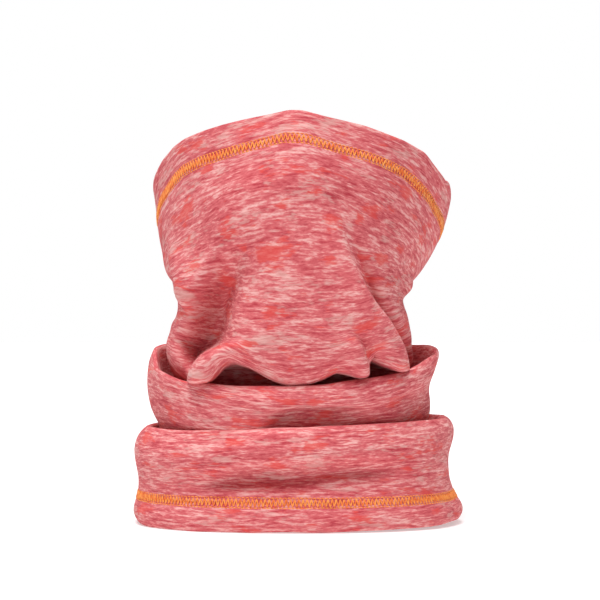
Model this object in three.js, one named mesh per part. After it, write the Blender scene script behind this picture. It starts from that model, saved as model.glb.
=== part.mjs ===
// Neck gaiter: a tube of brushed fleece with a coverstitched hem at each end, in the shape that it holds when worn.
// The top is pulled up over the nose, and the spare length is rolled down round the neck in two folds.
// Millimetres, +Z up, the face towards -Y, and the origin on the base, at the centre of the outline.
import * as THREE from "three";

// Driving dimensions.
const FLEECE = 2.0; // thickness of the knit
const GAP = 0.3; // clearance between neighbouring pieces
const FOLD_GAP = 1.2; // the same, either side of each place where the tube is parted
const BEHIND_RIM = 11; // from the middle rim to where the tube is parted behind it
const SEAM_GAP = 0.8; // and under the narrow pieces of the back seam
const HEM = 18; // from each edge of the tube to the middle of its coverstitch
const TURN_UP = 22; // cloth turned inside at each hem
const HEM_EDGE = 1.2; // the turned cloth stops this far short of the edge, where the bend begins
const STITCH_WIDTH = 5.6; // outer needle to outer needle of the coverstitch
const THREAD_HEIGHT = 0.5; // of a thread lying on the cloth
const THREAD_WIDTH = 0.7;
const SEAM_ALLOWANCE = { width: 7, height: 2.2 }; // the two cut edges of the back seam, pressed to one side
const OVERLOCK_HEIGHT = 0.5;
const LABEL = { width: 24, thickness: 0.8, toSeam: 9, toStitch: 6 };
const WIDEST_Y = 4; // the rings are widest here, in line with the ears
const AROUND = 40; // facets round the tube
const FAR = 15; // rings further apart than this get another row of facets between them

// The middle surface of the cloth, ring by ring from the top edge down the length of the tube. along is the distance
// down the cloth. left, right, front and back are how far each ring reaches from the axis, z... is its height at
// those four places, and nose and nape are superellipse exponents for its front and back halves (2 is an ellipse).
const RINGS = [
  ring("top_edge", 0, [89, 94.5, 86, 96], [247, 205, 201, 182], [1.85, 2.1]),
  ring("top_stitch", 18, [86, 88.5, 92, 95], [230, 184, 180, 163], [1.8, 2.1]),
  ring("nose_tip", 44, [84, 78.5, 96.5, 90], [206, 165, 163, 148], [1.85, 2.1]),
  ring("mouth", 85, [78.5, 66.5, 94, 80], [166, 148, 146, 136], [2.1, 2.1]),
  ring("chin", 122, [75, 63.5, 89, 73], [130, 131, 131, 123], [2.2, 2.1]),
  ring("below_chin", 145, [81, 69, 86, 71], [109, 117, 116, 110], [2.3, 2.1]),
  ring("chin_fold", 165, [81, 71, 72, 69], [91, 99, 103, 97], [2.4, 2.1]),
  ring("throat", 193, [76, 67, 44, 68], [95, 88, 92, 86], [2.3, 2.1]),
  ring("tucked_upper", 212, [77, 70, 43, 68], [75, 80, 79, 70], [2.3, 2.1]),
  ring("inner_fold_upper", 217, [80, 73, 46, 71], [70, 76, 75, 66], [2.3, 2.1]),
  ring("middle_lining", 222, [83, 76, 51, 74], [73, 80, 79, 70], [2.3, 2.1]),
  ring("middle_rim", 244, [88.5, 86, 76, 79], [86.5, 105, 105, 106], [2.3, 2.1]),
  ring("middle_shoulder", 252, [91, 87, 80, 84], [80, 100, 98, 99], [2.3, 2.1]),
  ring("middle_body", 266, [91, 80, 79.5, 84], [70, 82, 82, 80], [2.3, 2.1]),
  ring("middle_tuck", 281, [86.5, 78, 71, 79], [59, 64, 68, 63], [2.3, 2.1]),
  ring("tucked_lower", 291, [85, 77, 66, 75], [50, 53, 57, 53], [2.3, 2.1]),
  ring("inner_fold_lower", 296, [88, 80, 69, 78], [46, 49, 53, 49], [2.3, 2.1]),
  ring("lower_lining", 301, [91, 83, 72, 81], [50, 53, 57, 53], [2.3, 2.1]),
  ring("lower_rim", 314, [92.5, 89.5, 76.5, 84.5], [62, 59, 65, 62], [2.3, 2.1]),
  ring("lower_shoulder", 321, [97, 93.5, 80.5, 88], [57, 53, 58, 56], [2.3, 2.1]),
  ring("lower_body", 333, [99.5, 93, 80.5, 88], [45, 43, 45, 44], [2.3, 2.1]),
  ring("crease", 345, [98.5, 93, 75, 85], [34, 32, 33, 33], [2.3, 2.1]),
  ring("bottom_stitch", 361, [98.5, 96, 74, 82], [18, 18, 18, 18], [2.3, 2.1]),
  ring("bottom_flare", 372.5, [101, 100.5, 74, 81], [6.5, 6.5, 6.5, 6.5], [2.3, 2.1]),
  ring("bottom_edge", 379, [98, 98, 71, 78], [0, 0, 0, 0], [2.3, 2.1]),
];

function ring(name, along, [left, right, front, back], [zFront, zLeft, zRight, zBack], [nose, nape]) {
  return { name, along, left, right, front, back, zFront, zLeft, zRight, zBack, nose, nape };
}

// A point of a ring. turn runs from 0 at the front, by 0.25 on the right and 0.5 at the back, to 1.
function ringPoint(r, turn) {
  const s = Math.sin(2 * Math.PI * turn);
  const c = Math.cos(2 * Math.PI * turn);
  const power = 2 / (c > 0 ? r.nose : r.nape);
  const reach = (cosine) => Math.sign(cosine) * Math.abs(cosine) ** power;
  const x = (s > 0 ? r.right : r.left) * reach(s);
  const y = WIDEST_Y - (c > 0 ? r.front + WIDEST_Y : r.back - WIDEST_Y) * reach(c);
  const ends = (r.zFront + r.zBack) / 2;
  const sides = (r.zLeft + r.zRight) / 2;
  const level = (ends + sides) / 2 + ((ends - sides) / 2) * Math.cos(4 * Math.PI * turn);
  const z = level + ((r.zFront - r.zBack) / 2) * c + ((r.zRight - r.zLeft) / 2) * s;
  return new THREE.Vector3(x, y, z);
}

// The cloth's length at one place round the tube, as a smooth curve through every ring.
const lengthwise = new Map();
function curveAt(turn) {
  if (!lengthwise.has(turn)) {
    const points = RINGS.map((r) => ringPoint(r, turn));
    lengthwise.set(turn, new THREE.CatmullRomCurve3(points, false, "centripetal"));
  }
  return lengthwise.get(turn);
}

// row counts rings: 0 is the top edge, and 1.5 is halfway from the second ring to the third.
const LAST_ROW = RINGS.length - 1;
const middleSurface = (turn, row) => curveAt(turn).getPoint(row / LAST_ROW);
const rowOf = (name) => RINGS.findIndex((r) => r.name === name);

// The row that lies distance down the cloth from a named ring, or up it where distance is negative.
function rowFrom(name, distance) {
  const at = rowOf(name);
  const next = distance < 0 ? at - 1 : at + 1;
  return at + Math.abs(distance / (RINGS[next].along - RINGS[at].along)) * (next - at);
}

// A point offset from the middle surface, outwards where offset is positive. The lower edge keeps its height.
function skin(turn, row, offset) {
  const step = 1e-3;
  const up = middleSurface(turn, Math.max(row - step, 0));
  const down = middleSurface(turn, Math.min(row + step, LAST_ROW));
  const before = middleSurface(turn - step, row);
  const after = middleSurface(turn + step, row);
  const normal = after.sub(before).cross(up.sub(down));
  if (row === LAST_ROW) normal.z = 0;
  return middleSurface(turn, row).addScaledVector(normal.normalize(), offset);
}

// One closed solid that follows the cloth: the rows and turns of its grid, and its inner and outer offsets.
function layer(name, { rows, turns, inner, outer, material }) {
  const whole = turns.length === AROUND;
  const columns = whole ? AROUND : turns.length - 1;
  const points = [];
  for (const offset of [outer, inner])
    for (const row of rows) for (const turn of turns) points.push(skin(turn, row, offset));
  const id = (side, i, j) => (side * rows.length + i) * turns.length + (j % turns.length);
  const faces = [];
  const quad = (a, b, c, d) => faces.push(a, b, c, a, c, d);
  for (let i = 0; i < rows.length - 1; i++)
    for (let j = 0; j < columns; j++) {
      quad(id(0, i, j), id(0, i + 1, j), id(0, i + 1, j + 1), id(0, i, j + 1));
      quad(id(1, i, j), id(1, i, j + 1), id(1, i + 1, j + 1), id(1, i + 1, j));
    }
  const last = rows.length - 1;
  for (let j = 0; j < columns; j++) {
    quad(id(0, 0, j), id(0, 0, j + 1), id(1, 0, j + 1), id(1, 0, j));
    quad(id(0, last, j), id(1, last, j), id(1, last, j + 1), id(0, last, j + 1));
  }
  for (let i = 0; !whole && i < last; i++) {
    quad(id(0, i, 0), id(1, i, 0), id(1, i + 1, 0), id(0, i + 1, 0));
    quad(id(0, i, columns), id(0, i + 1, columns), id(1, i + 1, columns), id(1, i, columns));
  }
  const geometry = new THREE.BufferGeometry().setFromPoints(points).setIndex(faces);
  geometry.computeVertexNormals();
  const mesh = new THREE.Mesh(geometry, material);
  mesh.name = name;
  gaiter.add(mesh);
}

// Rows from one place to another, with a stop at each ring between them, and halfway to the next where it is far.
function rowsBetween(from, to) {
  const stops = RINGS.flatMap((r, i) => (i < LAST_ROW && RINGS[i + 1].along - r.along > FAR ? [i, i + 0.5] : [i]));
  return [from, ...stops.filter((row) => row > from + 0.1 && row < to - 0.1), to];
}

const allRound = Array.from({ length: AROUND }, (_, i) => i / AROUND);
const BACK = 0.5;

// Turns for a strip near the centre back, at a ring's size.
function turnsAcross(from, to) {
  const roundTube = 550;
  return [BACK + from / roundTube, BACK + (from + to) / 2 / roundTube, BACK + to / roundTube];
}

const fleece = new THREE.MeshStandardMaterial({ color: 0xe07878, roughness: 0.95, metalness: 0 });
const stitching = new THREE.MeshStandardMaterial({ color: 0xf08a3c, roughness: 0.6, metalness: 0 });
const overlock = new THREE.MeshStandardMaterial({ color: 0xd97a78, roughness: 0.7, metalness: 0 });
const satin = new THREE.MeshStandardMaterial({ color: 0xf4f1ec, roughness: 0.5, metalness: 0 });
const gaiter = new THREE.Group();
const FACE = FLEECE / 2;

// The tube, parted out of sight: behind the chin fold, behind the middle rim, and at the lower inner fold.
function addTube() {
  const parts = [
    ["fleece_upper", 0, rowFrom("throat", -FOLD_GAP)],
    ["fleece_throat", rowFrom("throat", FOLD_GAP), rowFrom("middle_rim", -BEHIND_RIM - FOLD_GAP)],
    ["fleece_middle", rowFrom("middle_rim", -BEHIND_RIM + FOLD_GAP), rowFrom("inner_fold_lower", -FOLD_GAP)],
    ["fleece_lower", rowFrom("inner_fold_lower", FOLD_GAP), LAST_ROW],
  ];
  for (const [name, from, to] of parts)
    layer(name, { rows: rowsBetween(from, to), turns: allRound, inner: -FACE, outer: FACE, material: fleece });
}

// A hem: the cloth turned inside, and the threads of the coverstitch that holds it.
function addHem(end, stitchRing, turnUpRows) {
  const facing = -FACE - GAP;
  const lining = facing - FLEECE;
  layer(`${end}_hem_turn_up`, { rows: turnUpRows, turns: allRound, inner: lining, outer: facing, material: fleece });
  const half = STITCH_WIDTH / 2;
  const strip = (name, from, to, inner, outer) => {
    const rows = [rowFrom(stitchRing, from), rowFrom(stitchRing, to)];
    layer(`${end}_hem_${name}`, { rows, turns: allRound, inner, outer, material: stitching });
  };
  const onFace = FACE + GAP;
  const onLining = lining - GAP;
  strip("needle_thread_upper", -half, -half + THREAD_WIDTH, onFace, onFace + THREAD_HEIGHT);
  strip("needle_thread_lower", half - THREAD_WIDTH, half, onFace, onFace + THREAD_HEIGHT);
  const cover = half - THREAD_WIDTH - GAP;
  strip("cover_thread", -cover, cover, onFace, onFace + THREAD_HEIGHT);
  strip("looper_thread", -half, half, onLining - THREAD_HEIGHT, onLining);
}

// The back seam: its allowance inside the tube, in a stretch for each part of the tube, with the overlock over it.
function addBackSeam() {
  const stretches = [
    ["upper", rowFrom("top_stitch", 10), rowFrom("inner_fold_upper", -8)],
    ["middle", rowFrom("middle_shoulder", 2), rowFrom("tucked_lower", -2)],
    ["lower", rowFrom("lower_shoulder", 2), rowFrom("bottom_stitch", -8)],
  ];
  const { width, height } = SEAM_ALLOWANCE;
  const top = -FACE - SEAM_GAP;
  for (const [part, from, to] of stretches) {
    const rows = rowsBetween(from, to);
    const turns = turnsAcross(0, width);
    layer(`back_seam_allowance_${part}`, { rows, turns, inner: top - height, outer: top, material: fleece });
    const outer = top - height - GAP;
    const inner = outer - OVERLOCK_HEIGHT;
    layer(`back_seam_overlock_${part}`, { rows, turns, inner, outer, material: overlock });
  }
}

function addLabel() {
  const rows = rowsBetween(rowOf("lower_body"), rowFrom("bottom_stitch", -LABEL.toStitch));
  const turns = turnsAcross(LABEL.toSeam, LABEL.toSeam + LABEL.width);
  const outer = -FACE - SEAM_GAP;
  layer("care_label", { rows, turns, inner: outer - LABEL.thickness, outer, material: satin });
}

addTube();
addHem("top", "top_stitch", rowsBetween(rowFrom("top_edge", HEM_EDGE), rowFrom("top_stitch", TURN_UP - HEM)));
addHem("bottom", "bottom_stitch", rowsBetween(rowFrom("bottom_stitch", HEM - TURN_UP), rowFrom("bottom_edge", -HEM_EDGE)));
addBackSeam();
addLabel();

export default gaiter;
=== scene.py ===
"""Neck gaiter: a fleece tube with coverstitched hems, worn over the nose and rolled down in folds.

The cloth is one sheet. Its middle surface runs smoothly through the rings below, from the top edge to the
bottom edge, and folds are laid over it. The sheet turns inside at both edges, and then gets its thickness.
Stitches lie on it.
"""
import math

import bpy
import numpy as np
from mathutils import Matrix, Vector, noise


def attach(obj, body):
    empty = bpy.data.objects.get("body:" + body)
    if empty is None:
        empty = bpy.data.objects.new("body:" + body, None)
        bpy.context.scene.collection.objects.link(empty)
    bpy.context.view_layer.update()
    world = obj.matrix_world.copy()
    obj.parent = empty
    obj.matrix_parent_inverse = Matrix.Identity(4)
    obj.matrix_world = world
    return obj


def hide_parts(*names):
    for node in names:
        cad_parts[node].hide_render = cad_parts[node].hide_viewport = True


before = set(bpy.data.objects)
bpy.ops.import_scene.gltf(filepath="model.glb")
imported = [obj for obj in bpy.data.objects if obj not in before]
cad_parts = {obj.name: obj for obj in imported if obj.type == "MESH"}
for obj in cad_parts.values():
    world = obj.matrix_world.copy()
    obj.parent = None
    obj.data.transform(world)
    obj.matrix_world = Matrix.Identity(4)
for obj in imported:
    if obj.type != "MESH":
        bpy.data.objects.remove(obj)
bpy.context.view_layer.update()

MM = 0.001
FLEECE = 2.0  # mm, thickness of the knit
HEM_GAP = 0.3  # mm, between the layers of a hem
TURN_UP = 22.0  # mm of cloth turned inside at each hem
WIDEST_Y = 4.0  # mm, where the rings are widest
COLUMNS = 400  # grid of the cloth, round the tube
ROW_STEP = 1.4  # mm, grid of the cloth, along the tube
OUTLINE_STEPS = 3600  # points of a ring's outline, before they are spaced evenly
FINE_ROWS = 2401  # rows of the surface, before they are spaced evenly
ROUNDED_STEPS = OUTLINE_STEPS // 90  # over which the corners of a front line are rounded
FRONT_LINE_FADE = 0.02, 0.3  # how far to the front a ring starts to follow its front line, and follows it
LINE_STEPS = 24  # pieces of a fold's smooth line
FOLD_FADE = 10  # mm, over which a fold dies away outside its rows
FLAT_ROUND = 550.0  # mm, the panel's width before it is sewn into a tube
SEED = Vector((3.1, 7.7, 1.3))
STITCH = 2.4  # mm, pitch of the coverstitch
STITCH_WIDTH = 5.6  # mm, outer needle to outer needle
ZIGZAG = 2.35  # mm, how far the cover thread runs to each side
ZIGZAG_ROUNDNESS = 0.98  # below 1, so that its turns are round
ZIGZAG_UNEVEN = 3.5, 0.22, 0.35  # mm: size of the unevenness, and its reach round and down the tube
NEEDLE_RADIUS = 0.32
NEEDLE_SHARE = 0.86  # of a stitch's pitch that lies on the face
NEEDLE_RISE = 0.6
NEEDLE_DIVE = 0.25
NEEDLE_UNEVEN = 5, 0.2  # mm: size of the unevenness, and its reach
NEEDLE_STEPS = 8  # sections of a stitch
COVER_RADIUS = 0.42
THREAD_SIDES = 6
LOOP_STEPS = 12  # sections of a thread to each stitch of a zigzag
PRESSED = 0.45  # mm, how far a coverstitch draws the cloth's face down
PRESSED_WIDTH = 3.3
SEAM_GROOVE = 0.75  # mm, depth of the back seam's line in the face
SEAM_GROOVE_WIDTH = 1.3
SEAM_DIP = 0.8  # mm, how far the seam draws the cloth in
SEAM_DIP_WIDTH = 4.0
SEAM_WIDTH = 7.0
SEAM_HEIGHT = 2.2  # mm, both plies of the allowance
SEAM_LIFT = 0.1
SEAM_UNEVEN = 9, 0.4  # mm: size of the unevenness of the cut edges, and its reach
SHORT_PLY = 0.5  # mm, how much narrower the inner ply is
OVERLOCK_STITCH = 2.8
OVERLOCK_RADIUS = 0.25
OVERLOCK_ROUNDNESS = 0.97
OVERLOCK_START = 0.8  # mm, from the seam's line to the loops
OVERLOCK_END = 1  # mm, from each end of a stretch to its loops
OVERLOCK_WRAP = 1.5  # mm of rise to each mm that a loop passes the cut edge
# The care label and its stitches, in mm, but for steps and for share, the part of its pitch that a stitch fills.
LABEL = {"width": 24, "thickness": 0.4, "to_seam": 9, "to_stitch": 6, "curl": 2.5, "gap": 0.2, "steps": 30}
LABEL_STITCH = {"margin": 1.5, "share": 0.8, "steps": 6, "rise": 0.25, "sunk": 0.1, "radius": 0.16}
# Each stretch of the back seam: its ends, as rings and the mm that it keeps from them.
SEAM_STRETCHES = [("upper", ("top_stitch", 10), ("inner_fold_upper", 8)),
                  ("middle", ("middle_shoulder", 2), ("tucked_lower", 2)),
                  ("lower", ("lower_shoulder", 2), ("bottom_stitch", 8))]
AMBIENT = 0.15  # strength of the white surroundings as a light


# ---------------------------------------------------------------- the rings

# In mm, in order down the cloth: how far the ring reaches left, right, to the front and to the back of the
# axis; its heights at the front, left, right and back; and the superellipse exponents of its front and back.
# front_line, where the front isn't level, is the ring's height in a view from the front, as (x, z) points.
def ring(name, reach, heights, exponents, front_line=()):
    return dict(name=name, reach=reach, heights=heights, exponents=exponents, front_line=front_line)


RINGS = [
    ring("top_edge", (89, 94.5, 86, 96), (248, 207, 202, 182), (1.85, 2.1), [
        (-89, 211), (-82, 222.5), (-75, 229.5), (-68.5, 233.2), (-56, 237.2), (-44, 240.2), (-20, 245),
        (-6, 247.8), (2, 247.6), (15, 244.2), (39, 239.2), (63, 231.6), (76.5, 225.2),
        (83, 217.5), (90, 209.5)]),
    ring("top_stitch", (86, 88.5, 92, 95), (231, 187, 182, 163), (1.8, 2.1), [
        (-86.5, 190), (-84.5, 198), (-74, 210), (-68, 215), (-56, 220), (-32, 226), (-8, 231.8), (3.5, 231.2),
        (15, 228), (39, 222), (51, 218), (63, 213), (69, 208.5), (79, 199), (85.5, 190), (88, 184)]),
    ring("nose_tip", (84, 78.5, 96.5, 90), (206, 165, 163, 148), (1.85, 2.1)),
    ring("mouth", (78.5, 66.5, 94, 80), (166, 148, 146, 136), (2.1, 2.1)),
    ring("chin", (75, 63.5, 89, 73), (130, 131, 131, 123), (2.2, 2.1)),
    ring("below_chin", (81, 69, 86, 71), (109, 117, 116, 110), (2.3, 2.1)),
    ring("chin_fold", (81, 71, 72, 69), (90, 96, 103, 97), (2.4, 2.1), [
        (-81, 104), (-76, 98.5), (-72, 94.5), (-67, 91), (-56, 88.5), (-48, 89), (-43.5, 95), (-38, 99),
        (-28, 97), (-16, 90.5), (-5, 86.4), (7, 88), (15, 91.5), (22, 95.5), (28, 94), (33, 91.8),
        (38, 93), (40, 103), (47, 99.5), (55, 95.5), (60, 95.5), (65, 98.5)]),
    ring("throat", (76, 67, 44, 68), (95, 88, 92, 86), (2.3, 2.1)),
    ring("tucked_upper", (77, 70, 43, 68), (75, 80, 79, 70), (2.3, 2.1)),
    ring("inner_fold_upper", (80, 73, 46, 71), (70, 76, 75, 66), (2.3, 2.1)),
    ring("middle_lining", (83, 76, 51, 74), (73, 80, 79, 70), (2.3, 2.1)),
    ring("middle_rim", (88.5, 86, 76, 79), (86.5, 107, 106, 106), (2.3, 2.1), [
        (-90, 103), (-84, 94), (-77, 89.5), (-66, 87.5), (-50, 86.5), (-5, 86), (12, 87), (25, 88.5),
        (45, 91), (62, 94), (75, 99.5), (84, 104)]),
    ring("middle_shoulder", (91, 87, 80, 84), (80, 100, 98, 99), (2.3, 2.1)),
    ring("middle_body", (91, 80, 79.5, 84), (70, 82, 82, 80), (2.3, 2.1)),
    ring("middle_tuck", (86.5, 78, 71, 79), (59, 64, 68, 63), (2.3, 2.1)),
    ring("tucked_lower", (85, 77, 66, 75), (50, 53, 57, 53), (2.3, 2.1)),
    ring("inner_fold_lower", (88, 80, 69, 78), (46, 49, 53, 49), (2.3, 2.1)),
    ring("lower_lining", (91, 83, 72, 81), (50, 53, 57, 53), (2.3, 2.1)),
    ring("lower_rim", (92.5, 89.5, 76.5, 84.5), (62, 59, 65, 62), (2.3, 2.1)),
    ring("lower_shoulder", (97, 93.5, 80.5, 88), (57, 53, 58, 56), (2.3, 2.1)),
    ring("lower_body", (99.5, 93, 80.5, 88), (45, 43, 45, 44), (2.3, 2.1)),
    ring("crease", (98.5, 93, 75, 85), (34, 32, 33, 33), (2.3, 2.1)),
    ring("bottom_stitch", (98.5, 96, 74, 82), (18, 18, 18, 18), (2.3, 2.1)),
    ring("bottom_flare", (101, 100.5, 74, 81), (7, 7, 9, 7), (2.3, 2.1)),
    ring("bottom_edge", (98, 98, 71, 78), (1, 1, 3, 1), (2.3, 2.1)),
]


def smooth_step(low, high, values):
    t = np.clip((values - low) / (high - low), 0, 1)
    return t * t * (3 - 2 * t)


def rounded(values, steps):
    """Takes the corners off a closed line of values, with a window of that many steps."""
    window = np.hanning(steps + 2)[1:-1]
    padded = np.concatenate([values[-steps:], values, values[:steps]])
    return np.convolve(padded, window / window.sum(), "same")[steps:-steps]


def ring_outline(r):
    """The ring as COLUMNS points, evenly spaced on each side, from the back by the left to the front."""
    turn = np.arange(OUTLINE_STEPS) / OUTLINE_STEPS + 0.5
    s, c = np.sin(2 * np.pi * turn), np.cos(2 * np.pi * turn)
    left, right, front, back = r["reach"]
    z_front, z_left, z_right, z_back = r["heights"]
    power = 2 / np.where(c > 0, *r["exponents"])
    x = np.where(s > 0, right, left) * np.sign(s) * np.abs(s) ** power
    y = WIDEST_Y - np.where(c > 0, front + WIDEST_Y, back - WIDEST_Y) * np.sign(c) * np.abs(c) ** power
    ends, sides = (z_front + z_back) / 2, (z_left + z_right) / 2
    z = (ends + sides) / 2 + (ends - sides) / 2 * np.cos(4 * np.pi * turn)
    z += (z_front - z_back) / 2 * c + (z_right - z_left) / 2 * s
    if r["front_line"]:
        line_x, line_z = zip(*r["front_line"])
        z += (np.interp(x, line_x, line_z) - z) * smooth_step(*FRONT_LINE_FADE, c)
        z = rounded(z, ROUNDED_STEPS)
    points = np.stack([x, y, z], axis=1)
    closed = np.vstack([points, points[:1]])
    length = np.concatenate([[0], np.cumsum(np.linalg.norm(np.diff(closed, axis=0), axis=1))])
    middle = length[OUTLINE_STEPS // 2]
    half = COLUMNS // 2
    share = np.arange(half) / half
    stops = np.concatenate([share * middle, middle + share * (length[-1] - middle)])
    return np.stack([np.interp(stops, length, closed[:, k]) for k in range(3)], axis=1)


def spline_weights(knots, at):
    """The matrix that turns values at the knots into the natural cubic spline's values at other places."""
    n, h = len(knots), np.diff(knots)
    bend, source = np.eye(n), np.zeros((n, n))
    for i in range(1, n - 1):
        bend[i, i - 1:i + 2] = h[i - 1], 2 * (h[i - 1] + h[i]), h[i]
        source[i, i - 1:i + 2] = 6 / h[i - 1], -6 / h[i - 1] - 6 / h[i], 6 / h[i]
    second = np.linalg.solve(bend, source)
    i = np.clip(np.searchsorted(knots, at, side="right") - 1, 0, n - 2)
    b = (at - knots[i]) / h[i]
    a = 1 - b
    weights = ((a ** 3 - a) * h[i] ** 2 / 6)[:, None] * second[i]
    weights = weights + ((b ** 3 - b) * h[i] ** 2 / 6)[:, None] * second[i + 1]
    weights[np.arange(len(at)), i] += a
    weights[np.arange(len(at)), i + 1] += b
    return weights


def middle_surface():
    """The cloth's points without its folds, the distance of each even row, and the distance of each ring."""
    outlines = np.array([ring_outline(r) for r in RINGS])
    chords = np.linalg.norm(np.diff(outlines, axis=0), axis=2).mean(axis=1)
    knots = np.concatenate([[0], np.cumsum(np.sqrt(chords))])
    fine = np.linspace(0, knots[-1], FINE_ROWS)
    surface = np.einsum("ij,jkl->ikl", spline_weights(knots, fine), outlines)
    steps = np.linalg.norm(np.diff(surface, axis=0), axis=2).mean(axis=1)
    length = np.concatenate([[0], np.cumsum(steps)])
    rows = np.linspace(0, length[-1], int(length[-1] / ROW_STEP) + 1)
    at = np.interp(rows, length, fine)
    surface = np.einsum("ij,jkl->ikl", spline_weights(knots, at), outlines)
    down = dict(zip((r["name"] for r in RINGS), np.interp(knots, fine, length)))
    return surface, rows, down


def normals_of(grid):
    """Outward unit normals of a grid that closes round the tube."""
    across = np.roll(grid, -1, axis=1) - np.roll(grid, 1, axis=1)
    down = np.gradient(grid, axis=0)
    n = np.cross(down, across)
    return n / np.linalg.norm(n, axis=2, keepdims=True)


cloth, cloth_rows, ring_row = middle_surface()
CLOTH_LENGTH = cloth_rows[-1]
across_share = np.arange(COLUMNS) / COLUMNS  # 0 at the back seam, 0.5 at the front
facing_front = -np.cos(2 * np.pi * across_share)[None, :]


def round_distance(share):
    """mm round the tube from the back seam."""
    return np.minimum(share, 1 - share) * FLAT_ROUND


# ---------------------------------------------------------------- the folds

def between(start, stop, fade):
    """1 for rows from one ring to another, fading to 0 over that many mm outside them."""
    a, b = ring_row[start], ring_row[stop]
    rise = smooth_step(a - fade, a, cloth_rows)
    return (rise * (1 - smooth_step(b, b + fade, cloth_rows)))[:, None]


def line_distance(points):
    """For each grid point, seen from the front: its distance from a smooth line through (x, z) points, its
    place along the line from 0 to 1, and the line's left-hand direction there. The distance is positive on
    that side: the viewer's right where the line runs down, and above it where it runs to the right."""
    points = np.array(points, float)
    lengths = np.concatenate([[0], np.cumsum(np.linalg.norm(np.diff(points, axis=0), axis=1))])
    stops = np.linspace(0, lengths[-1], LINE_STEPS + 1)
    curve = spline_weights(lengths, stops) @ points
    px, pz = cloth[..., 0], cloth[..., 2]
    best = np.full(px.shape, np.inf)
    signed, place = np.zeros(px.shape), np.zeros(px.shape)
    side_x, side_z = np.zeros(px.shape), np.zeros(px.shape)
    for k, ((ax, az), (bx, bz)) in enumerate(zip(curve, curve[1:])):
        length = math.hypot(bx - ax, bz - az)
        dx, dz = (bx - ax) / length, (bz - az) / length
        t = np.clip((px - ax) * dx + (pz - az) * dz, 0, length)
        ox, oz = px - ax - t * dx, pz - az - t * dz
        d = np.hypot(ox, oz)
        nearer = d < best
        best = np.where(nearer, d, best)
        signed = np.where(nearer, np.sign(dx * oz - dz * ox) * d, signed)
        place = np.where(nearer, (k + t / length) / LINE_STEPS, place)
        side_x, side_z = np.where(nearer, -dz, side_x), np.where(nearer, dx, side_z)
    return signed, place, side_x, side_z


def front_fold(points, height, widths, overlap=0, hollow=0, rows=("top_edge", "chin_fold"), ends=(0.3, 0.3),
               turn=0.0):
    """Brings the cloth forward in a fold along a line in the front view, or back where height is negative.
    widths are those of its flanks on the line's right-hand and left-hand sides. overlap leans the crest over
    the left-hand side, and hollow sinks the cloth beneath it there. ends are the shares of the line over
    which the fold rises and dies away. turn is how far round to the side the cloth may face."""
    signed, place, side_x, side_z = line_distance(points)
    flank = np.where(signed < 0, signed / widths[0], signed / widths[1])
    crest = np.exp(-flank ** 2)
    beneath = np.exp(-((signed - 2 * widths[1]) / (1.4 * widths[1])) ** 2)
    facing = np.maximum(-normals_of(cloth)[..., 1], facing_front)
    amount = smooth_step(turn, turn + 0.3, facing) * between(*rows, FOLD_FADE)
    amount *= smooth_step(-0.02, ends[0], place) if ends[0] else 1
    amount *= 1 - smooth_step(1 - ends[1], 1.02, place) if ends[1] else 1
    lean = overlap * crest * amount
    cloth[..., 0] += lean * side_x
    cloth[..., 1] -= (height * crest - hollow * beneath) * amount
    cloth[..., 2] += lean * side_z


def wave_round(start, stop, height, size, seed, back=1.0, front=1.0):
    """Soft swells over a stretch of the cloth. size is their width round the tube and their width down it.
    back and front are their strengths there."""
    global cloth
    angle = 2 * np.pi * across_share
    ring_r = FLAT_ROUND / (2 * np.pi)
    rows = between(start, stop, FOLD_FADE)
    amount = np.zeros(cloth.shape[:2])
    shift = SEED * seed
    used = np.nonzero(rows[:, 0])[0]
    for j in range(COLUMNS):
        cx, cy = math.cos(angle[j]) * ring_r / size[0], math.sin(angle[j]) * ring_r / size[0]
        for i in used:
            amount[i, j] = noise.noise(Vector((cx, cy, cloth_rows[i] / size[1])) + shift)
    strength = back + (front - back) * smooth_step(-0.3, 0.3, -np.cos(angle))
    cloth = cloth + normals_of(cloth) * (height * amount * strength * rows)[..., None]


def relax(times, weight=0.25):
    """Evens the cloth out, as its stiffness does."""
    global cloth
    for _ in range(times):
        around = (np.roll(cloth, 1, axis=1) + np.roll(cloth, -1, axis=1)) / 2
        along = cloth.copy()
        along[1:-1] = (cloth[2:] + cloth[:-2]) / 2
        cloth = cloth + weight * ((around + along) / 2 - cloth)


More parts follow.
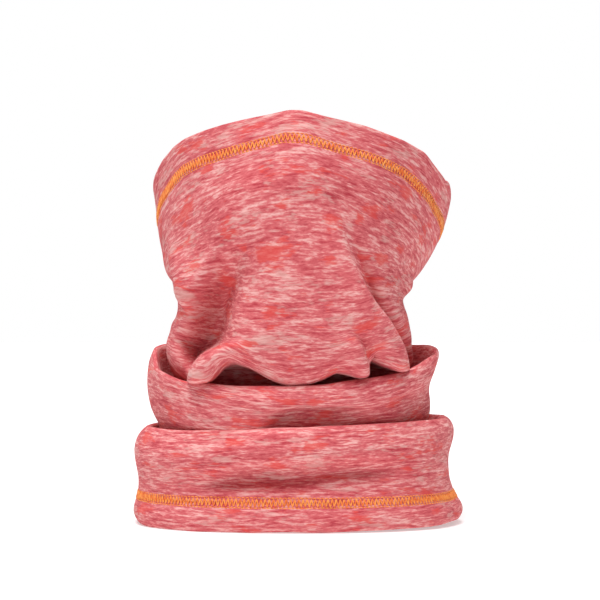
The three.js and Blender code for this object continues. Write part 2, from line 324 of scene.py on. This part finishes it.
def shape_folds():
    # The bridge of the nose, and the soft pulls that run from it.
    front_fold([(-3, 252), (-2, 215), (0, 190)], 3, (13, 14), ends=(0, 0.4))
    front_fold([(-22, 216), (-38, 190), (-52, 168)], 2.5, (11, 11))
    front_fold([(14, 202), (33, 188), (51, 164)], -4, (9, 9))
    # Left of the chin the cloth runs down from an outer ridge into a valley beside the face.
    front_fold([(-34, 188), (-44, 172), (-56, 152), (-67, 133), (-79, 112)], 10, (8, 9), hollow=11,
               ends=(0.6, 0.2), rows=("top_edge", "throat"), turn=-0.3)
    front_fold([(-26, 174), (-34, 160), (-39, 147), (-42, 134), (-44, 122), (-48, 113), (-57, 105),
                (-67, 97)], -29, (16, 5), ends=(0.6, 0.12), rows=("top_edge", "throat"))
    # Higher up, its edge laps over the strip of cloth behind.
    front_fold([(-66, 134), (-69, 149), (-74, 163), (-78, 180)], 6, (9, 2.5), overlap=4, hollow=9, turn=-0.5,
               ends=(0.15, 0.5))
    # The lobe that rolls down to the left of the first arch, over the ridge behind it.
    front_fold([(-57, 80), (-56.5, 90), (-53, 97), (-46, 102), (-37, 106), (-25, 108)], 13, (12, 5),
               overlap=7, hollow=6, ends=(0, 0.6), rows=("chin", "throat"))
    # On the right a ridge laps over the strip of cloth beside it.
    front_fold([(18, 190), (26, 164), (34, 144), (41, 130), (48, 120), (53.5, 111.5), (58, 104), (60, 94)],
               13, (14, 3.5), overlap=6, hollow=18, ends=(0.7, 0), rows=("top_edge", "throat"), turn=-0.2)
    # The notch to the right of the chin.
    front_fold([(25, 119), (31, 111), (34, 104), (36, 98), (37, 90)], 6, (9, 3.5), overlap=4, hollow=6,
               ends=(0.5, 0), rows=("chin", "throat"))
    # The middle tier is tucked deeper on the right, and the lowest has a crease above its stitching.
    front_fold([(-24, 67), (10, 69.5), (44, 73)], -12, (8, 5), ends=(0.3, 0.4),
               rows=("middle_body", "middle_tuck"))
    front_fold([(-66, 22), (-50, 31.5), (-38, 35.5), (0, 38.5), (29, 41), (48, 41), (70, 44)], -13, (10, 4),
               overlap=-3.5, ends=(0.3, 0.3), rows=("lower_rim", "bottom_stitch"))
    wave_round("nose_tip", "below_chin", 3.0, (60, 40), 1)
    wave_round("mouth", "throat", 9.0, (70, 17), 5, front=0)
    wave_round("middle_shoulder", "middle_tuck", 4.0, (45, 22), 2)
    wave_round("lower_shoulder", "crease", 3.5, (60, 25), 3)
    wave_round("top_edge", "bottom_edge", 1.2, (28, 22), 4)
    relax(6)


def sink_seam():
    """Draws the cloth in a little along the back seam."""
    depth = SEAM_DIP * np.exp(-(round_distance(across_share) / SEAM_DIP_WIDTH) ** 2)
    cloth[:] -= normals_of(cloth) * depth[None, :, None]


shape_folds()
sink_seam()


# ---------------------------------------------------------------- the cloth's mesh

def cloth_at(share, along):
    """Points on the cloth's middle surface, and its normals: share round from the back seam, and mm down."""
    share, along = np.broadcast_arrays(np.asarray(share, float) % 1.0, np.asarray(along, float))
    i = np.interp(along, cloth_rows, np.arange(len(cloth_rows)))
    j = share * COLUMNS
    i0 = np.clip(i.astype(int), 0, len(cloth_rows) - 2)
    j0 = np.floor(j).astype(int)
    fi, fj = (i - i0)[..., None], (j - j0)[..., None]
    j0, j1 = j0 % COLUMNS, (j0 + 1) % COLUMNS

    def blend(grid):
        upper = grid[i0, j0] * (1 - fj) + grid[i0, j1] * fj
        lower = grid[i0 + 1, j0] * (1 - fj) + grid[i0 + 1, j1] * fj
        return upper * (1 - fi) + lower * fi

    normal = blend(cloth_normals)
    return blend(cloth), normal / np.linalg.norm(normal, axis=-1, keepdims=True)


def on_cloth(share, along, lift=0.0):
    """Points that many mm outwards from the cloth's middle surface."""
    point, normal = cloth_at(share, along)
    return point + normal * np.asarray(lift, float)[..., None]


cloth_normals = normals_of(cloth)
STITCH_LINES = ring_row["top_stitch"], ring_row["bottom_stitch"]


def hem_path(edge, inwards, count=9):
    """The sheet's way round a hem's edge, from the end of the turned-up cloth: mm down and mm outwards."""
    radius = (FLEECE + HEM_GAP) / 2
    bend = [(radius - radius * math.sin(a), -radius + radius * math.cos(a))
            for a in np.linspace(math.pi, 0, count)]
    straight = [(d, -2 * radius) for d in np.arange(TURN_UP, radius + 0.5, -ROW_STEP)]
    return [(edge + inwards * along, lift) for along, lift in straight + bend]


def sheet_path():
    top = hem_path(0.0, 1)
    bottom = hem_path(CLOTH_LENGTH, -1)[::-1]
    middle = [(v, 0.0) for v in cloth_rows if top[-1][0] + 0.5 < v < bottom[0][0] - 0.5]
    return np.array(top + middle + bottom)


def add_mesh(name, verts, faces, material):
    """A smooth object from points in mm."""
    mesh = bpy.data.meshes.new(name)
    mesh.from_pydata((verts.reshape(-1, 3) * MM).tolist(), [], faces)
    mesh.polygons.foreach_set("use_smooth", [True] * len(faces))
    mesh.materials.append(material)
    obj = bpy.data.objects.new(name, mesh)
    bpy.context.scene.collection.objects.link(obj)
    return obj


def grid_mesh(name, shells, uv, material):
    """A closed mesh from an outer and an inner grid (rows x columns) that close round the tube. uv is each
    grid point's own place on the cloth, in mm, with one more column for the far side of the back seam."""
    rows, columns = shells[0].shape[:2]
    verts = np.concatenate([s.reshape(-1, 3) for s in shells])
    i, j = np.meshgrid(np.arange(rows - 1), np.arange(columns), indexing="ij")
    i, j = i.ravel(), j.ravel()
    k = (j + 1) % columns
    inner = rows * columns
    here, below = i * columns, (i + 1) * columns
    outer_faces = np.stack([here + j, below + j, below + k, here + k], axis=1)
    inner_faces = outer_faces[:, ::-1] + inner
    j = np.arange(columns)
    k = (j + 1) % columns
    last = (rows - 1) * columns
    first_edge = np.stack([j, k, k + inner, j + inner], axis=1)
    last_edge = np.stack([last + j, last + j + inner, last + k + inner, last + k], axis=1)
    faces = np.concatenate([outer_faces, inner_faces, first_edge, last_edge])
    obj = add_mesh(name, verts, faces.tolist(), material)
    layer = obj.data.uv_layers.new(name="fabric")
    loop_vertex = faces.ravel() % inner
    row, column = loop_vertex // columns, loop_vertex % columns
    wraps = np.repeat(np.ptp(faces % inner % columns, axis=1) > 1, 4)
    column = np.where(wraps & (column == 0), columns, column)
    layer.data.foreach_set("uv", (uv[row, column] * MM).ravel())
    return obj


def pressed(along, share):
    """How far the cloth's face is drawn down: under each coverstitch, and along the back seam."""
    depth = sum(PRESSED * np.exp(-((along - line) / PRESSED_WIDTH) ** 4) for line in STITCH_LINES)
    return depth[:, None] + SEAM_GROOVE * np.exp(-(round_distance(share) / SEAM_GROOVE_WIDTH) ** 2)[None, :]


def make_tube(material):
    """The fleece tube, and the length of its cloth from one cut edge to the other."""
    path = sheet_path()
    share = np.broadcast_to(across_share, (len(path), COLUMNS))
    middle = on_cloth(share, path[:, 0][:, None], path[:, 1][:, None])
    normal = normals_of(middle)
    half = FLEECE / 2
    travelled = np.concatenate([[0], np.cumsum(np.linalg.norm(np.diff(middle, axis=0), axis=2).mean(axis=1))])
    face = half - pressed(path[:, 0], across_share)
    shells = middle + normal * face[..., None], middle - normal * half
    steps = np.linalg.norm(np.roll(middle, -1, axis=1) - middle, axis=2)
    u = np.concatenate([np.zeros((len(path), 1)), np.cumsum(steps, axis=1)], axis=1)
    u -= u[:, COLUMNS // 2, None]
    v = np.broadcast_to(travelled[-1] - travelled[:, None], u.shape)
    return grid_mesh("fleece_tube", shells, np.stack([u, v], axis=2), material), travelled[-1]


# ---------------------------------------------------------------- threads, seam and label

def bars(name, sections, material, closed=False):
    """Closed bars from an array of bars x steps x section points x 3: one section at each step of a bar."""
    count, steps, sides = sections.shape[:3]
    faces = []
    for bar in range(count):
        start = bar * steps * sides
        for i in range(steps if closed else steps - 1):
            a, b = start + i * sides, start + (i + 1) % steps * sides
            faces += [(a + k, a + (k + 1) % sides, b + (k + 1) % sides, b + k) for k in range(sides)]
        if not closed:
            last = start + (steps - 1) * sides
            faces += [tuple(start + k for k in reversed(range(sides))), tuple(last + k for k in range(sides))]
    return add_mesh(name, sections, faces, material)


def thread(name, share, along, lift, radius, material, closed=False):
    """Round threads on the cloth, one for each row of share, along and lift."""
    share, along, lift = np.broadcast_arrays(share, along, lift)
    point, normal = cloth_at(share, along)
    line = point + normal * lift[..., None]
    ahead = np.roll(line, -1, axis=1) - np.roll(line, 1, axis=1) if closed else np.gradient(line, axis=1)
    aside = np.cross(ahead, normal)
    aside /= np.linalg.norm(aside, axis=-1, keepdims=True)
    up = np.cross(aside, ahead)
    up /= np.linalg.norm(up, axis=-1, keepdims=True)
    turn = np.arange(THREAD_SIDES) / THREAD_SIDES * 2 * np.pi
    across, rise = np.cos(turn)[:, None], np.sin(turn)[:, None]
    sections = line[:, :, None] + radius * (across * aside[:, :, None] + rise * up[:, :, None])
    return bars(name, sections, material, closed)


def wander(places, size, seed):
    """A little unevenness for handwork along a thread, from -1 to 1, the same each run."""
    shift = SEED * seed
    return np.array([noise.noise(Vector((p / size, 0, 0)) + shift) for p in places])


def make_needle_row(name, line, offset, lift, seed, material):
    """A row of separate stitches, each rising out of the cloth and going back in."""
    count = round(FLAT_ROUND / STITCH)
    start = np.arange(count) / count
    t = np.linspace(0, 1, NEEDLE_STEPS)
    share = start[:, None] + t * NEEDLE_SHARE / count
    size, reach = NEEDLE_UNEVEN
    drift = wander(start * FLAT_ROUND, size, seed)[:, None] * reach
    arch = NEEDLE_RISE * np.sin(np.pi * t) - NEEDLE_DIVE
    return thread(name, share, line + offset + drift, lift + math.copysign(1, lift) * arch[None, :],
                  NEEDLE_RADIUS, material)


def make_zigzag(name, line, lift, radius, seed, material):
    """The thread that runs to and fro between the needle rows, all the way round."""
    count = round(FLAT_ROUND / STITCH)
    steps = count * LOOP_STEPS
    size, reach_round, reach_down = ZIGZAG_UNEVEN
    t = np.arange(steps) / steps
    sway = np.arcsin(ZIGZAG_ROUNDNESS * np.sin(2 * np.pi * count * t)) * 2 / np.pi
    uneven = wander(t * FLAT_ROUND, size, seed)
    blend = np.minimum(1, np.minimum(t, 1 - t) * count / 2)
    share = t + uneven * blend * reach_round / FLAT_ROUND
    along = line + (ZIGZAG + reach_down * uneven * blend) * sway
    return thread(name, share[None], along[None], np.full((1, steps), lift), radius, material, closed=True)


def make_hem_threads(end, line, seed, material):
    """A hem's coverstitch by node name: two needle rows and the cover thread outside, the looper inside."""
    face = FLEECE / 2 - PRESSED
    lining = -(FLEECE * 1.5 + HEM_GAP - PRESSED)
    half = STITCH_WIDTH / 2
    pieces = {}
    for row, offset in (("upper", -half), ("lower", half)):
        name = f"{end}_hem_needle_thread_{row}"
        pieces[name] = make_needle_row(f"{name}_stitches", line, offset, face, seed + len(pieces), material)
    name = f"{end}_hem_cover_thread"
    pieces[name] = make_zigzag(f"{name}_zigzag", line, face + COVER_RADIUS, COVER_RADIUS, seed + 2, material)
    name = f"{end}_hem_looper_thread"
    pieces[name] = make_zigzag(f"{name}_zigzag", line, lining - NEEDLE_RADIUS, NEEDLE_RADIUS, seed + 3,
                               material)
    return pieces


def strip(name, section, along, material, lift=0.0):
    """A strip up the inside of the tube. section is closed, of (mm round from the back seam, mm outwards)."""
    u, out = np.array(section).T
    share = np.broadcast_to(u / FLAT_ROUND, (len(along), len(u)))
    rise = out[None, :] + np.broadcast_to(lift, len(along))[:, None]
    return bars(name, on_cloth(share, along[:, None], rise)[None], material)


def rounded_bar(start, stop, low, high):
    """The outline of a flat bar with round edges."""
    r = (high - low) / 2
    turn = np.linspace(-np.pi / 2, np.pi / 2, 5)
    right = [(stop - r + r * math.cos(a), low + r + r * math.sin(a)) for a in turn]
    left = [(start + r - r * math.cos(a), high - r - r * math.sin(a)) for a in turn]
    flat = [(start + r + (stop - start - 2 * r) * k / 6, low) for k in range(1, 6)]
    return left + flat + right + [(u, high) for u, _ in flat[::-1]]


def make_back_seam(part, start, stop, seed, fleece, overlock):
    """One stretch of the seam: its two cut edges, pressed to one side, and the overlock thread over them."""
    along = np.arange(start, stop, ROW_STEP)
    top = -FLEECE / 2 - SEAM_LIFT
    ply = SEAM_HEIGHT / 2
    size, reach = SEAM_UNEVEN
    edge = SEAM_WIDTH + wander(along, size, seed) * reach
    both = []
    for k, short in enumerate((0.0, SHORT_PLY)):
        section = rounded_bar(0.0, SEAM_WIDTH - short, top - ply * (k + 1), top - ply * k)
        both.append(strip(f"ply_{k}", section, along, fleece))
    allowance = joined(f"back_seam_allowance_{part}_plies", both)
    count = int((stop - start) / OVERLOCK_STITCH)
    t = np.linspace(0, count, count * LOOP_STEPS + 1)
    sway = np.arcsin(OVERLOCK_ROUNDNESS * np.sin(2 * np.pi * t)) / np.pi + 0.5
    u = OVERLOCK_START + (np.interp(start + t * OVERLOCK_STITCH, along, edge) - 0.5) * sway
    low = top - SEAM_HEIGHT - OVERLOCK_RADIUS
    lift = np.where(u > SEAM_WIDTH, low + (u - SEAM_WIDTH) * OVERLOCK_WRAP, low)
    row = start + OVERLOCK_END + t * (stop - start - 2 * OVERLOCK_END) / count
    loops = thread(f"back_seam_overlock_{part}_loops", (u / FLAT_ROUND)[None], row[None], lift[None],
                   OVERLOCK_RADIUS, overlock)
    return {f"back_seam_allowance_{part}": allowance, f"back_seam_overlock_{part}": loops}


def joined(name, objects):
    """One object of several meshes."""
    with bpy.context.temp_override(active_object=objects[0], selected_editable_objects=objects):
        bpy.ops.object.join()
    objects[0].name = objects[0].data.name = name
    return objects[0]


def make_label(satin, overlock):
    """A blank care label, sewn at its upper edge, its free end curling off the cloth, and its stitches."""
    start, stop = ring_row["lower_body"], ring_row["bottom_stitch"] - LABEL["to_stitch"]
    along = np.linspace(start, stop, LABEL["steps"])
    t = (along - start) / (stop - start)
    top = -FLEECE / 2 - LABEL["gap"]
    left, right = LABEL["to_seam"], LABEL["to_seam"] + LABEL["width"]
    label = strip("care_label_satin", rounded_bar(left, right, top - LABEL["thickness"], top), along, satin,
                  lift=-LABEL["curl"] * t ** 2)
    sewn = LABEL_STITCH
    count = int((LABEL["width"] - 2 * sewn["margin"]) / STITCH)
    t = np.linspace(0, 1, sewn["steps"])
    u = left + sewn["margin"] + np.arange(count)[:, None] * STITCH + t * sewn["share"] * STITCH
    arch = top - LABEL["thickness"] - sewn["rise"] * np.sin(np.pi * t) + sewn["sunk"]
    stitches = thread("care_label_stitches", u / FLAT_ROUND, np.full(u.shape, start + sewn["margin"]),
                      np.broadcast_to(arch, u.shape), sewn["radius"], overlock)
    return label, stitches


# ---------------------------------------------------------------- materials

class Nodes:
    """A material's node tree, with short calls for its nodes."""

    def __init__(self, name):
        self.material = bpy.data.materials.new(name)
        self.material.use_nodes = True
        self.tree = self.material.node_tree
        self.shader = self.tree.nodes["Principled BSDF"]

    def add(self, kind, inputs=(), **settings):
        node = self.tree.nodes.new("ShaderNode" + kind)
        for key, value in settings.items():
            setattr(node, key, value)
        for key, value in dict(inputs).items():
            if isinstance(value, bpy.types.NodeSocket):
                self.tree.links.new(value, node.inputs[key])
            else:
                node.inputs[key].default_value = value
        return node

    def link(self, output, socket):
        self.tree.links.new(output, self.shader.inputs[socket])

    def scaled(self, vector, scale):
        return self.add("Mapping", {"Vector": vector, "Scale": scale}).outputs["Vector"]

    def noise(self, vector, scale=1.0, detail=2.0, rough=0.5, distortion=0.0):
        inputs = {"Vector": vector, "Scale": scale, "Detail": detail, "Roughness": rough,
                  "Distortion": distortion}
        return self.add("TexNoise", inputs).outputs["Fac"]

    def ramp(self, value, low, high):
        inputs = {"Value": value, "From Min": low, "From Max": high}
        return self.add("MapRange", inputs, interpolation_type="SMOOTHSTEP").outputs["Result"]

    def linear(self, value, low, high):
        return self.add("MapRange", {"Value": value, "From Min": low, "From Max": high}).outputs["Result"]

    def mix(self, factor, a, b, kind="MIX"):
        node = self.add("Mix", data_type="RGBA", blend_type=kind)
        for socket, value in ((node.inputs[0], factor), (node.inputs[6], a), (node.inputs[7], b)):
            if isinstance(value, bpy.types.NodeSocket):
                self.tree.links.new(value, socket)
            else:
                socket.default_value = value
        return node.outputs[2]

    def math(self, operation, a, b):
        node = self.add("Math", operation=operation)
        for socket, value in zip(node.inputs, (a, b)):
            if isinstance(value, bpy.types.NodeSocket):
                self.tree.links.new(value, socket)
            else:
                socket.default_value = value
        return node.outputs[0]


def rgb(red, green, blue):
    """A linear colour from its sRGB values out of 255."""
    return (*(((c / 255 + 0.055) / 1.055) ** 2.4 if c > 10 else c / 3295 for c in (red, green, blue)), 1.0)


def fleece_material():
    """Melange fleece: rose and pale pink yarns in streaks round the tube, patches of coral and of greyish
    pink where one yarn gathers, and a short brushed pile."""
    n = Nodes("melange_fleece")
    uv = n.add("UVMap", uv_map="fabric").outputs["UV"]
    streaks = n.noise(n.scaled(uv, (78, 560, 1)), detail=4, rough=0.6, distortion=0.5)
    threads = n.noise(n.scaled(uv, (260, 1300, 3)), detail=3, rough=0.6, distortion=0.3)
    clusters = n.noise(n.scaled(uv, (26, 110, 5)), detail=3, rough=0.55, distortion=0.4)
    corals = n.noise(n.scaled(uv, (40, 105, 7)), detail=3, rough=0.55, distortion=0.15)
    greys = n.noise(n.scaled(uv, (34, 120, 9)), detail=3, rough=0.6, distortion=0.15)
    ragged = n.noise(n.scaled(uv, (150, 900, 11)), detail=3, rough=0.6)
    tone = n.math("ADD", n.math("MULTIPLY", streaks, 0.5), n.math("MULTIPLY", threads, 0.28))
    tone = n.math("ADD", tone, n.math("MULTIPLY", clusters, 0.22))
    base = n.mix(n.linear(tone, 0.385, 0.5), rgb(182, 58, 70), rgb(216, 108, 112))
    base = n.mix(n.linear(tone, 0.5, 0.61), base, rgb(240, 184, 179))
    grey = n.math("ADD", n.math("MULTIPLY", ragged, 0.45), n.math("MULTIPLY", greys, 0.75))
    grey = n.ramp(grey, 0.64, 0.74)
    base = n.mix(n.math("MULTIPLY", grey, 0.6), base, rgb(218, 168, 161))
    coral = n.math("SUBTRACT", n.math("MULTIPLY", corals, 0.8), n.math("MULTIPLY", ragged, 0.3))
    coral = n.ramp(coral, 0.3, 0.38)
    colour = n.mix(n.math("MULTIPLY", coral, 0.72), base, rgb(221, 74, 68))
    n.link(colour, "Base Color")
    shader = n.shader.inputs
    shader["Roughness"].default_value = 0.95
    shader["Specular IOR Level"].default_value = 0.15
    shader["Sheen Weight"].default_value = 0.12
    shader["Sheen Roughness"].default_value = 0.6
    shader["Sheen Tint"].default_value = rgb(255, 205, 200)
    pile = n.noise(n.scaled(uv, (900, 1300, 1)), detail=3, rough=0.7)
    lumps = n.noise(n.scaled(uv, (230, 420, 1)), detail=2)
    height = n.math("ADD", n.math("MULTIPLY", pile, 0.5), lumps)
    bump = n.add("Bump", {"Height": height, "Strength": 0.5, "Distance": 0.0006})
    n.link(bump.outputs["Normal"], "Normal")
    return n.material


def thread_material(name, pale, deep, gloss):
    """Spun polyester thread: two tones, a fine twist, and a soft shine."""
    n = Nodes(name)
    place = n.add("TexCoord").outputs["Object"]
    tone = n.noise(n.scaled(place, (420, 420, 420)), detail=3, rough=0.6)
    n.link(n.mix(n.ramp(tone, 0.35, 0.65), deep, pale), "Base Color")
    twist = n.noise(n.scaled(place, (2600, 2600, 2600)), detail=2)
    n.link(n.add("Bump", {"Height": twist, "Strength": 0.5, "Distance": 0.0002}).outputs["Normal"], "Normal")
    n.shader.inputs["Roughness"].default_value = gloss
    n.shader.inputs["Specular IOR Level"].default_value = 0.4
    return n.material


def satin_material():
    """White woven satin, fine ribs across it."""
    n = Nodes("label_satin")
    place = n.add("TexCoord").outputs["Object"]
    ribs = n.add("TexWave", {"Vector": place, "Scale": 700, "Distortion": 0.6}, bands_direction="Z")
    ribs = ribs.outputs["Fac"]
    cloud = n.noise(n.scaled(place, (160, 160, 160)))
    n.link(n.mix(cloud, rgb(236, 232, 226), rgb(250, 248, 244)), "Base Color")
    n.link(n.add("Bump", {"Height": ribs, "Strength": 0.3, "Distance": 0.0001}).outputs["Normal"], "Normal")
    n.shader.inputs["Roughness"].default_value = 0.38
    n.shader.inputs["Sheen Weight"].default_value = 0.2
    return n.material


# ---------------------------------------------------------------- the set

def make_camera():
    camera = bpy.data.objects.new("camera", bpy.data.cameras.new("camera"))
    camera.location = (0.00124, -1.44, 0.1376)
    camera.rotation_euler = (math.pi / 2, 0, 0)
    camera.data.lens = 139.4
    camera.data.sensor_width = 36
    bpy.context.scene.collection.objects.link(camera)
    bpy.context.scene.camera = camera


def sun_light(name, towards, softness, strength):
    """A broad light from that direction. softness is how many degrees wide it looks."""
    light = bpy.data.lights.new(name, "SUN")
    light.angle, light.energy = math.radians(softness), strength
    obj = bpy.data.objects.new(name, light)
    obj.rotation_euler = Vector(towards).to_track_quat("Z", "Y").to_euler()
    bpy.context.scene.collection.objects.link(obj)


def make_world():
    """White to the eye, and dimmer as a light, so that the lamps shape the folds."""
    world = bpy.data.worlds.new("studio")
    world.use_nodes = True
    tree = world.node_tree
    seen = tree.nodes.new("ShaderNodeLightPath").outputs["Is Camera Ray"]
    strength = tree.nodes.new("ShaderNodeMapRange")
    strength.inputs["To Min"].default_value = AMBIENT
    strength.inputs["To Max"].default_value = 1.0
    tree.links.new(seen, strength.inputs["Value"])
    tree.nodes["Background"].inputs["Color"].default_value = (1, 1, 1, 1)
    tree.links.new(strength.outputs["Result"], tree.nodes["Background"].inputs["Strength"])
    bpy.context.scene.world = world


def make_set():
    bpy.context.scene.view_settings.view_transform = "Standard"
    make_world()
    sun_light("key", (-0.13, -0.43, 1.1), 36, 3.55)
    sun_light("back", (0.2, 0.8, 0.7), 60, 0.7)
    n = Nodes("studio_floor")
    n.shader.inputs["Base Color"].default_value = (0.68, 0.68, 0.68, 1)
    n.shader.inputs["Roughness"].default_value = 0.9
    n.shader.inputs["Emission Color"].default_value = (1, 1, 1, 1)
    n.shader.inputs["Emission Strength"].default_value = 0.42
    bpy.ops.mesh.primitive_circle_add(vertices=96, radius=6, fill_type="NGON")
    floor = bpy.context.object
    floor.name = "floor"
    floor.data.materials.append(n.material)


# ---------------------------------------------------------------- assembly

make_camera()
make_set()
fleece = fleece_material()
orange = thread_material("orange_thread", rgb(255, 168, 84), rgb(236, 116, 52), 0.55)
overlock = thread_material("overlock_thread", rgb(236, 134, 130), rgb(206, 88, 88), 0.6)

tube, cut_length = make_tube(fleece)
stitching = {**make_hem_threads("top", STITCH_LINES[0], 11, orange),
             **make_hem_threads("bottom", STITCH_LINES[1], 21, orange)}
seam = {}
for seed, (part, (first, after), (last, before)) in enumerate(SEAM_STRETCHES, 31):
    start, stop = ring_row[first] + after, ring_row[last] - before
    seam.update(make_back_seam(part, start, stop, seed, fleece, overlock))
label, label_stitches = make_label(satin_material(), overlock)

slots = {tube: "melange_fleece", label: "label_satin", label_stitches: "overlock_thread"}
slots.update((piece, "orange_thread") for piece in stitching.values())
slots.update((piece, "overlock_thread" if "overlock" in node else "melange_fleece")
             for node, piece in seam.items())
for piece, slot in slots.items():
    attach(piece, "root")
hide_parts("fleece_upper", "fleece_throat", "fleece_middle", "fleece_lower", "top_hem_turn_up",
            "bottom_hem_turn_up")
for node, piece in {**stitching, **seam, "care_label": label}.items():
    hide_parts(node)
